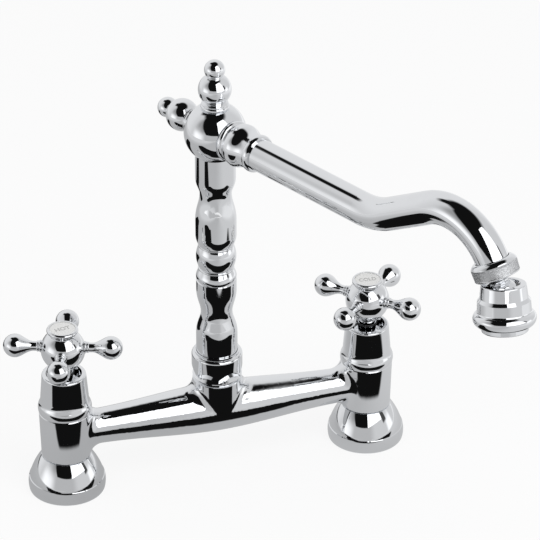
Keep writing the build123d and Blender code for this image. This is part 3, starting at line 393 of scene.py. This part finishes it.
def turnNut(look):
    # rings along the outline from end to end, closed through the bore
    taper = look["bandFoot"] - look["bandTop"]
    shares = [row / look["rows"] for row in range(look["rows"] + 1)]
    band = [(look["bandTop"] + taper * share, look["bandLength"] * share) for share in shares]
    profile = look["shoulder"] + band + look["mouth"]
    bore, low = (size * mm for size in profile[0])
    last = profile[-1][1] * mm
    points = look["around"] * look["samples"]

    deselectAll()
    bpy.ops.mesh.primitive_circle_add(vertices=points, radius=bore, location=(0, 0, low))
    nut = bpy.context.object
    nut.name = "knurled_nut_cut"
    settle(nut)
    bpy.ops.object.mode_set(mode="EDIT")
    bpy.ops.mesh.select_all(action="SELECT")
    for before, after in zip(profile, profile[1:]):
        rise = (after[1] - before[1]) * mm
        bpy.ops.mesh.extrude_region_move(TRANSFORM_OT_translate={"value": (0, 0, rise)})
        bpy.ops.transform.resize(value=(after[0] / before[0], after[0] / before[0], 1))
    bpy.ops.object.mode_set(mode="OBJECT")
    for vertex in nut.data.vertices:
        onBore = abs(vertex.co.xy.length - bore) < touching
        vertex.select = onBore and min(abs(vertex.co.z - low), abs(vertex.co.z - last)) < touching
    for edge in nut.data.edges:
        edge.select = all(nut.data.vertices[index].select for index in edge.vertices)
    bpy.ops.object.mode_set(mode="EDIT")
    bpy.ops.mesh.bridge_edge_loops()
    bpy.ops.mesh.select_all(action="SELECT")
    bpy.ops.mesh.remove_doubles(threshold=0.000001)
    bpy.ops.mesh.normals_make_consistent(inside=False)
    bpy.ops.object.mode_set(mode="OBJECT")
    return nut


def pressKnurl(nut, look):
    # the knurl is pressed into the band, and runs out at both of its ends
    length = look["bandLength"]
    for vertex in nut.data.vertices:
        height = vertex.co.z / mm
        radius = vertex.co.xy.length
        onBand = look["plainEnd"] < height < length - look["plainEnd"]
        if radius < look["knurlFrom"] * mm or not onBand:
            continue
        turn = atan2(vertex.co.y, vertex.co.x)
        ends = min(1, height / look["runOut"], (length - height) / look["runOut"])
        sunk = look["depth"] * mm * (1 - diamond(turn, height, look)) * ends
        vertex.co.xy *= (radius - sunk) / radius


def buildKnurledNut(look):
    nut = turnNut(look)
    pressKnurl(nut, look)
    nut.data.materials.append(chromeKnurled)
    nut.data.materials.append(chromeTurned)
    for face in nut.data.polygons:
        onBand = 0 < face.center.z < look["bandLength"] * mm
        onBand = onBand and face.center.xy.length > look["plateFrom"] * mm
        face.material_index = 0 if onBand else 1
    selectOnly(nut)
    bpy.ops.object.shade_smooth_by_angle(angle=radians(look["smoothBelow"]))

    # onto the end of the tube, in line with the aerator's swing
    swing = next(joint for joint in frame["joints"] if joint["name"] == "aerator_swing")
    axis = Vector(swing["axis"]).normalized()
    nut.rotation_euler = axis.to_track_quat("Z", "Y").to_euler()
    nut.location = Vector(swing["pos_m"]) - axis * look["ballPlace"] * mm
    settle(nut)
    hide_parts("knurled_nut")
    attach(nut, "spout")


buildKnurledNut(knurled)
print("knurled nut cut")


# plain words on the two index discs: turns in degrees, sizes in metres
lettering = {
    "hot": {"word": "HOT", "turn": 8.5, "size": 0.0046, "wide": 0.92},
    "cold": {"word": "COLD", "turn": -5.9, "size": 0.0043, "wide": 0.86},
}
letterRise = 0.00006
letterBevel = 0.00002
letterLift = 0.7  # share of its rise that a word's middle is above the disc


def addWord(side, look):
    low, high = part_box(f"{side}_index_disc")
    deselectAll()
    bpy.ops.object.text_add()
    word = bpy.context.object
    word.name = f"{side}_word"
    word.data.body = look["word"]
    word.data.size = look["size"]
    word.data.align_x = "CENTER"
    word.data.align_y = "CENTER"
    word.data.extrude = letterRise
    word.data.bevel_depth = letterBevel
    bpy.ops.object.convert(target="MESH")
    word = bpy.context.object
    word.scale = (look["wide"], 1, 1)
    word.rotation_euler = (0, 0, radians(look["turn"]))
    word.location = ((low[0] + high[0]) / 2, (low[1] + high[1]) / 2, high[2] + letterRise * letterLift)
    settle(word)
    word.data.materials.clear()
    word.data.materials.append(letterGrey)
    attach(word, f"{side}_handle")


for side, look in lettering.items():
    addWord(side, look)
print("words laid on the index discs")


# The chrome shows painted reflections of a studio: a tent, a table and a window, glowing cards that only
# the chrome sees. In the tent a turn is in degrees to the right of the camera and a height in degrees above
# the horizon, both seen from the faucet. A reach is how far from its middle a patch starts to fade and is
# gone, and heights are where it starts and stops changing.
# the light of the painted dark parts of the reflections
darkLight = 0.006
tentLook = {
    "radius": 1.7,  # metres
    "light": 0.68,
    "front": {"turn": -16, "reach": (30, 52), "light": 0.52},
    "back": {"places": (0.3, 1.2), "more": 0.13},  # metres behind the faucet
    "mouth": {
        "turn": -10,
        "height": 20,
        "half": 23,  # its lower edge is level this far to each side
        "climb": 0.9,  # degrees up for each degree further
        "soft": 0.9,  # half the width of its edge
        "softer": 0.16,  # and more for each degree further
        "softerTo": 30,
    },
    "ceiling": 62,
    "dip": {"turn": -127, "reach": (8, 24), "depth": 11.0},
    "glows": [
        {"turn": -62, "reach": (8, 30), "heights": (8, 28), "more": 0.5},
        {"turn": 88, "reach": (7, 16), "heights": (10, 22), "more": 0.5},
    ],
    "paintedShade": {"turn": -58, "reach": (13, 38), "heights": (14, 42), "less": 0.34},
    "patch": {"turn": 74, "reach": (6, 9), "height": 26, "heightReach": (9, 13), "lost": 0.9},
}
# places and sizes in metres, a painted dark patch of the table's reflection by its middle and its half
# sizes
tableLook = {
    "size": 3,
    "height": 0.0004,
    "leftLight": 0.50,
    "rightLight": 0.66,
    "sides": (-0.12, 0.2),  # from the left light to the right one
    "closeShare": 0.86,  # of the light, close to the faucet
    "close": (0.05, 0.22),
    "backLight": 0.8,  # at the back, on the right
    "backPlaces": (0.02, 0.2),
    "backSides": (-0.05, 0.1),
    "endsMore": 0.2,  # at both far ends
    "ends": (0.3, 0.75),
    "frontPaintedDark": ((-0.07, -0.1235), (0.3, 0.0795)),
    "rearPaintedDark": ((-0.18, 0.235), (0.15, 0.065)),
    "paintedDarkEdge": (0.85, 1.2),  # 1 is the edge itself, in fourth powers
    "bases": (-0.09, 0.09),  # the front painted dark patch is cut round both
    "baseCut": (0.056, 0.062),
}
# the window is a glowing card that paints white highlights on the chrome
windowLook = {
    "light": 1.6,
    "corners": ((-0.043, -0.76), (0.55, -0.45)),
    "heights": (0.28, 1.5),
}


def nearDegrees(tree, value, middle, reach):
    return near(tree, value, radians(middle), *(radians(angle) for angle in reach))


def easeDegrees(tree, value, ends):
    return ease(tree, value, *(radians(angle) for angle in ends))


def glowMaterial(name):
    material = bpy.data.materials.new(name)
    material.use_nodes = True
    tree = material.node_tree
    tree.nodes.remove(tree.nodes["Principled BSDF"])
    glow = addNode(tree, "ShaderNodeEmission", Color=(0.985, 0.99, 1.0, 1))
    tree.links.new(glow.outputs["Emission"], tree.nodes["Material Output"].inputs["Surface"])
    return material, tree, glow.inputs["Strength"]


def splitPlace(tree):
    place = addNode(tree, "ShaderNodeTexCoord")
    split = addNode(tree, "ShaderNodeSeparateXYZ")
    tree.links.new(place.outputs["Object"], split.inputs["Vector"])
    return split.outputs["X"], split.outputs["Y"], split.outputs["Z"]


def makePaintedTent(look):
    material, tree, strength = glowMaterial("tent_painted_reflection")
    x, y, z = splitPlace(tree)
    turn = calc(tree, "ARCTAN2", x, calc(tree, "MULTIPLY", y, -1.0))
    turn = calc(tree, "SUBTRACT", turn, radians(shot["turn"]))
    height = calc(tree, "ARCSINE", calc(tree, "DIVIDE", z, look["radius"]))

    # the tent's painted reflection is dark above an edge, which is low, level and sharp over the mouth in
    # front.
    # To the sides it climbs and softens, as far as the ceiling, and the ceiling dips once
    mouth, dip = look["mouth"], look["dip"]
    side = calc(tree, "ABSOLUTE", calc(tree, "SUBTRACT", turn, radians(mouth["turn"])))
    side = calc(tree, "MAXIMUM", calc(tree, "SUBTRACT", side, radians(mouth["half"])), 0.0)
    edge = calc(tree, "MULTIPLY_ADD", side, mouth["climb"], radians(mouth["height"]))
    edge = calc(tree, "MINIMUM", edge, radians(look["ceiling"]))
    dipped = nearDegrees(tree, turn, dip["turn"], dip["reach"])
    edge = calc(tree, "MULTIPLY_ADD", dipped, radians(-dip["depth"]), edge)
    soft = calc(tree, "MINIMUM", side, radians(mouth["softerTo"]))
    soft = calc(tree, "MULTIPLY_ADD", soft, mouth["softer"], radians(mouth["soft"]))
    dark = ease(tree, height, calc(tree, "SUBTRACT", edge, soft), calc(tree, "ADD", edge, soft))

    # the tent's painted light: dimmer in front, brighter behind, with lighter glows, a painted shade and a
    # darker patch
    front, back = look["front"], look["back"]
    inFront = nearDegrees(tree, turn, front["turn"], front["reach"])
    level = calc(tree, "MULTIPLY_ADD", inFront, front["light"] - look["light"], look["light"])
    level = calc(tree, "MULTIPLY_ADD", ease(tree, y, *back["places"]), back["more"], level)
    for patch in look["glows"]:
        across = nearDegrees(tree, turn, patch["turn"], patch["reach"])
        below = calc(tree, "SUBTRACT", 1.0, easeDegrees(tree, height, patch["heights"]))
        level = calc(tree, "MULTIPLY_ADD", calc(tree, "MULTIPLY", across, below), patch["more"], level)
    patch = look["paintedShade"]
    across = nearDegrees(tree, turn, patch["turn"], patch["reach"])
    above = easeDegrees(tree, height, patch["heights"])
    level = calc(tree, "MULTIPLY_ADD", calc(tree, "MULTIPLY", across, above), -patch["less"], level)
    patch = look["patch"]
    across = nearDegrees(tree, turn, patch["turn"], patch["reach"])
    along = nearDegrees(tree, height, patch["height"], patch["heightReach"])
    share = calc(tree, "MULTIPLY_ADD", calc(tree, "MULTIPLY", across, along), -patch["lost"], 1.0)
    level = calc(tree, "MULTIPLY", level, share)

    level = calc(tree, "MULTIPLY_ADD", level, calc(tree, "SUBTRACT", 1.0, dark), darkLight)
    tree.links.new(level, strength)
    return material


def paintedDarkPatch(tree, x, y, place, edge):
    # a rounded painted dark patch in the table's reflection: 1 inside, 0 outside
    powers = []
    for value, middle, half in zip((x, y), *place):
        share = calc(tree, "DIVIDE", calc(tree, "SUBTRACT", value, middle), half)
        share = calc(tree, "MULTIPLY", share, share)
        powers.append(calc(tree, "MULTIPLY", share, share))
    return calc(tree, "SUBTRACT", 1.0, ease(tree, calc(tree, "ADD", *powers), *edge))


def distanceOf(tree, x, y):
    squares = [calc(tree, "MULTIPLY", value, value) for value in (x, y)]
    return calc(tree, "SQRT", calc(tree, "ADD", *squares))


def makePaintedTable(look):
    material, tree, strength = glowMaterial("table_painted_reflection")
    x, y, _ = splitPlace(tree)
    # painted dark reflections in front of the faucet and behind it on the left
    dark = paintedDarkPatch(tree, x, y, look["frontPaintedDark"], look["paintedDarkEdge"])
    for base in look["bases"]:
        away = distanceOf(tree, calc(tree, "SUBTRACT", x, base), y)
        dark = calc(tree, "MULTIPLY", dark, ease(tree, away, *look["baseCut"]))
    dark = calc(tree, "MAXIMUM", dark, paintedDarkPatch(tree, x, y, look["rearPaintedDark"], look["paintedDarkEdge"]))

    # the table's painted reflection is brighter to the right and dimmer close to the faucet
    share = ease(tree, x, *look["sides"])
    light = calc(tree, "MULTIPLY_ADD", share, look["rightLight"] - look["leftLight"], look["leftLight"])
    away = ease(tree, distanceOf(tree, x, y), *look["close"])
    share = calc(tree, "MULTIPLY_ADD", away, 1 - look["closeShare"], look["closeShare"])
    light = calc(tree, "MULTIPLY", light, share)
    # and brighter again at the back on the right, and at both ends
    share = calc(tree, "MULTIPLY", ease(tree, y, *look["backPlaces"]), ease(tree, x, *look["backSides"]))
    more = calc(tree, "MULTIPLY", calc(tree, "SUBTRACT", look["backLight"], light), share)
    light = calc(tree, "ADD", light, more)
    share = ease(tree, calc(tree, "ABSOLUTE", x), *look["ends"])
    light = calc(tree, "MULTIPLY_ADD", share, look["endsMore"], light)
    level = calc(tree, "MULTIPLY_ADD", light, calc(tree, "SUBTRACT", 1.0, dark), darkLight)
    tree.links.new(level, strength)
    return material


def makePaintedWindow(look):
    material, _, strength = glowMaterial("window_painted_highlight")
    strength.default_value = look["light"]
    return material


def setStage(thing, name, material):
    # only the chrome sees it: a glowing card that paints reflections onto the chrome
    thing.name = name
    settle(thing)
    thing.data.materials.append(material)
    thing.visible_camera = False
    thing.visible_diffuse = False
    thing.visible_shadow = False


def addTent(look):
    deselectAll()
    bpy.ops.mesh.primitive_uv_sphere_add(segments=96, ring_count=48, radius=look["radius"])
    setStage(bpy.context.object, "tent", makePaintedTent(look))


def addTable(look):
    deselectAll()
    bpy.ops.mesh.primitive_plane_add(size=look["size"], location=(0, 0, look["height"]))
    setStage(bpy.context.object, "table", makePaintedTable(look))


def addWindow(look):
    # an upright glowing card between two places on the floor, which paints white highlights on the chrome
    start, end = (Vector((*corner, 0)) for corner in look["corners"])
    low, high = look["heights"]
    across = end - start
    deselectAll()
    bpy.ops.mesh.primitive_plane_add(size=1)
    card = bpy.context.object
    card.scale = (across.length, high - low, 1)
    card.rotation_euler = (radians(90), 0, atan2(across.y, across.x))
    card.location = (start + end) / 2 + Vector((0, 0, (low + high) / 2))
    setStage(card, "window", makePaintedWindow(look))


addTent(tentLook)
addTable(tableLook)
addWindow(windowLook)


# the floor and the room look white to the camera and in mirrors, and light the faucet in their own colour
floorLook = {
    "size": 8,
    "color": (0.86, 0.86, 0.86),
    "roughness": 0.9,
    "specular": 0.1,
    "glow": 0.86,  # share of white that is seen instead
}
roomColor = (0.62, 0.62, 0.63)
lampAim = (0.03, -0.03, 0.1)
lamps = {
    "key_lamp": {"turn": 25, "height": 55, "distance": 1.6, "size": 0.9, "power": 9},
    "fill_lamp": {"turn": -70, "height": 40, "distance": 1.8, "size": 1.2, "power": 5},
}


def seenDirectly(tree):
    # 1 for rays from the camera and for mirrored and refracted ones
    path = addNode(tree, "ShaderNodeLightPath")
    seen = calc(tree, "MAXIMUM", path.outputs["Is Camera Ray"], path.outputs["Is Glossy Ray"])
    return calc(tree, "MAXIMUM", seen, path.outputs["Is Transmission Ray"])


def addFloor(look):
    bpy.ops.mesh.primitive_plane_add(size=look["size"])
    floor = bpy.context.object
    floor.name = "floor"
    material, tree, shader = newMaterial("floor", look["color"], 0.0)
    shader.inputs["Roughness"].default_value = look["roughness"]
    shader.inputs["Specular IOR Level"].default_value = look["specular"]
    glow = addNode(tree, "ShaderNodeEmission", Color=(1, 1, 1, 1))
    mix = addNode(tree, "ShaderNodeMixShader")
    link = tree.links.new
    link(calc(tree, "MULTIPLY", seenDirectly(tree), look["glow"]), mix.inputs["Fac"])
    link(shader.outputs["BSDF"], mix.inputs[1])
    link(glow.outputs["Emission"], mix.inputs[2])
    link(mix.outputs["Shader"], tree.nodes["Material Output"].inputs["Surface"])
    floor.data.materials.append(material)


def addWorld():
    world = bpy.data.worlds.new("studio")
    bpy.context.scene.world = world
    world.use_nodes = True
    tree = world.node_tree
    color = mixColors(tree, seenDirectly(tree), roomColor, (1, 1, 1))
    tree.links.new(color, tree.nodes["Background"].inputs["Color"])


def addLamp(name, look):
    outwards = fromFront(look["turn"], look["height"])
    bpy.ops.object.light_add(type="AREA")
    lamp = bpy.context.object
    lamp.name = name
    lamp.location = Vector(lampAim) + outwards * look["distance"]
    lamp.rotation_euler = outwards.to_track_quat("Z", "Y").to_euler()
    lamp.data.size = look["size"]
    lamp.data.energy = look["power"]
    lamp.visible_glossy = False


addFloor(floorLook)
addWorld()
for name, look in lamps.items():
    addLamp(name, look)
bpy.context.scene.view_settings.view_transform = "Standard"
print("studio built")
